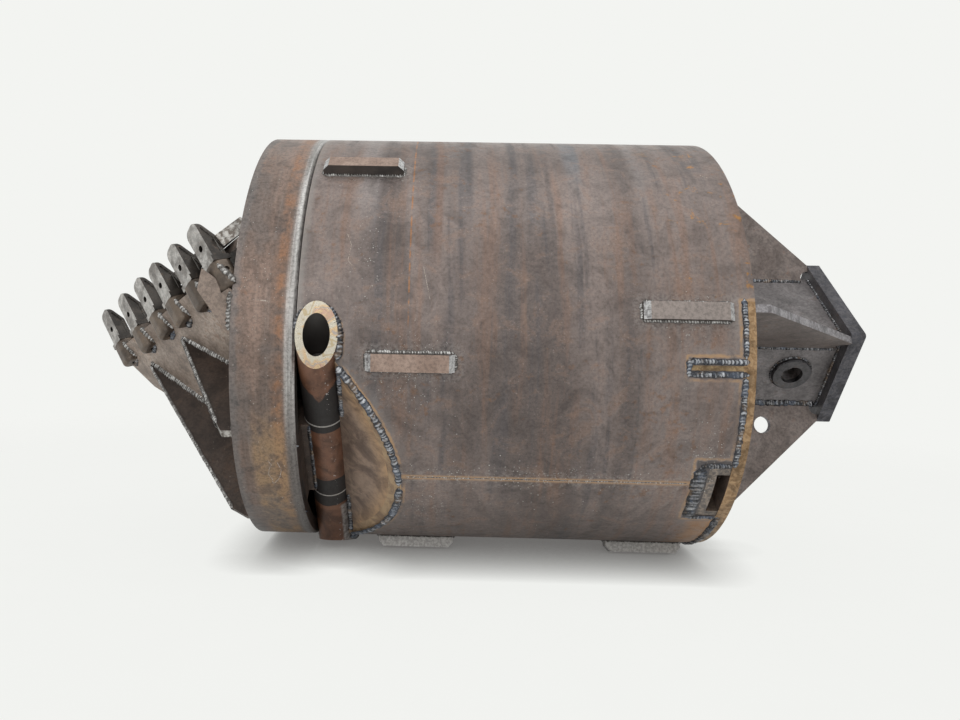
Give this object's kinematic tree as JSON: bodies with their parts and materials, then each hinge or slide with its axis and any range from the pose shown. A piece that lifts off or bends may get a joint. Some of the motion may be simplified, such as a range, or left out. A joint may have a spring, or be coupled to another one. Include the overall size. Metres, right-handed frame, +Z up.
{
  "type": "drilling bucket",
  "caption": "Rotary drilling bucket: round steel barrel with a hinged toothed bottom gate, square kelly box with gussets, wear bars and an inner latch.",
  "frame": {"origin": "where the kelly pin's axis crosses the bucket's own axis", "axes": "+X along the bucket from the teeth to the kelly box, +Z up as the bucket lies in storage"},
  "size_m": [2.296, 1.2554, 1.2472],
  "materials": {
    "mill_plate": "rolled plate with brown mill scale and thin rust",
    "dark_plate": "dark grey hot-rolled plate",
    "cut_plate": "brown plate with bright flame-cut edges",
    "tooth_plate": "lighter brown plate with rust bloom and weld spatter",
    "band_steel": "thick rolled band, rusty in the middle, ground at its edges",
    "bar_steel": "flat bar with mill scale",
    "forged_steel": "forged brown-grey steel",
    "hinge_tube": "rusty turned tube, painted black by the joints",
    "hinge_pin": "oily turned bar",
    "spring_steel": "oiled spring wire",
    "tooth_forging": "grey forging with a soft sheen",
    "holder_forging": "brown-grey forging"
  },
  "bodies": {
    "barrel": {"barrel_shell": "mill_plate", "end_plate": "mill_plate", "end_ribs": "cut_plate", "gusset_bottom": "cut_plate", "gusset_far": "cut_plate", "gusset_near": "cut_plate", "gusset_top": "cut_plate", "head_plate": "dark_plate", "hinge_cradle": "mill_plate", "hinge_pin": "hinge_pin", "hinge_sleeve_lower": "hinge_tube", "hinge_sleeve_upper": "hinge_tube", "kelly_stem": "dark_plate", "latch_bracket": "dark_plate", "pin_bosses": "forged_steel", "pocket_plate": "mill_plate", "port_frame": "dark_plate", "return_spring": "spring_steel", "rod_guides": "dark_plate", "wear_bars_front": "bar_steel", "wear_bars_rear": "bar_steel"},
    "gate": {"gate_band": "band_steel", "bottom_plate": "dark_plate", "gate_knuckle": "hinge_tube", "gate_arm": "dark_plate", "gate_catch": "forged_steel", "tooth_plate_a": "tooth_plate", "tooth_plate_b": "tooth_plate", "row_ramp_a": "dark_plate", "row_ramp_b": "dark_plate", "row_braces_a": "cut_plate", "row_braces_b": "cut_plate", "flap_hinge_a": "forged_steel", "flap_hinge_b": "forged_steel", "tooth_a1": "tooth_forging", "tooth_a2": "tooth_forging", "tooth_a3": "tooth_forging", "tooth_a4": "tooth_forging", "tooth_a5": "tooth_forging", "tooth_a6": "tooth_forging", "tooth_b1": "tooth_forging", "tooth_b2": "tooth_forging", "tooth_b3": "tooth_forging", "tooth_b4": "tooth_forging", "tooth_b5": "tooth_forging", "holder_a1": "holder_forging", "holder_a2": "holder_forging", "holder_a3": "holder_forging", "holder_a4": "holder_forging", "holder_a5": "holder_forging", "holder_a6": "holder_forging", "holder_b1": "holder_forging", "holder_b2": "holder_forging", "holder_b3": "holder_forging", "holder_b4": "holder_forging", "holder_b5": "holder_forging"},
    "latch": {"latch_hook": "forged_steel"},
    "rod": {"push_rod": "hinge_pin"},
    "flap_a": {"flap_a": "dark_plate"},
    "flap_b": {"flap_b": "dark_plate"}
  },
  "joints": [
    {"name": "gate_hinge", "type": "hinge", "parent": "barrel", "child": "gate", "pos_m": [-1.336, -0.36387, -0.30532], "axis": [0, -0.6428, 0.766], "range_deg": [0, 75]},
    {"name": "rod_slide", "type": "slide", "parent": "barrel", "child": "rod", "axis": [1, 0, 0], "range_m": [0, 0.0127]},
    {"name": "latch_pivot", "type": "hinge", "parent": "barrel", "child": "latch", "pos_m": [-1.325, 0.37383, 0.31368], "axis": [0, 0.6428, -0.766], "range_deg": [0, 16]},
    {"name": "flap_a_hinge", "type": "hinge", "parent": "gate", "child": "flap_a", "pos_m": [-1.4875, 0.06757, 0.3179], "axis": [0, 0.2079, 0.9781], "range_deg": [0, 50]},
    {"name": "flap_b_hinge", "type": "hinge", "parent": "gate", "child": "flap_b", "pos_m": [-1.4875, -0.06757, -0.3179], "axis": [0, -0.2079, -0.9781], "range_deg": [0, 50]}
  ],
  "couplings": [
    {"joint": "latch_pivot", "follows": "rod_slide", "rad_per_m": 21.98}
  ]
}
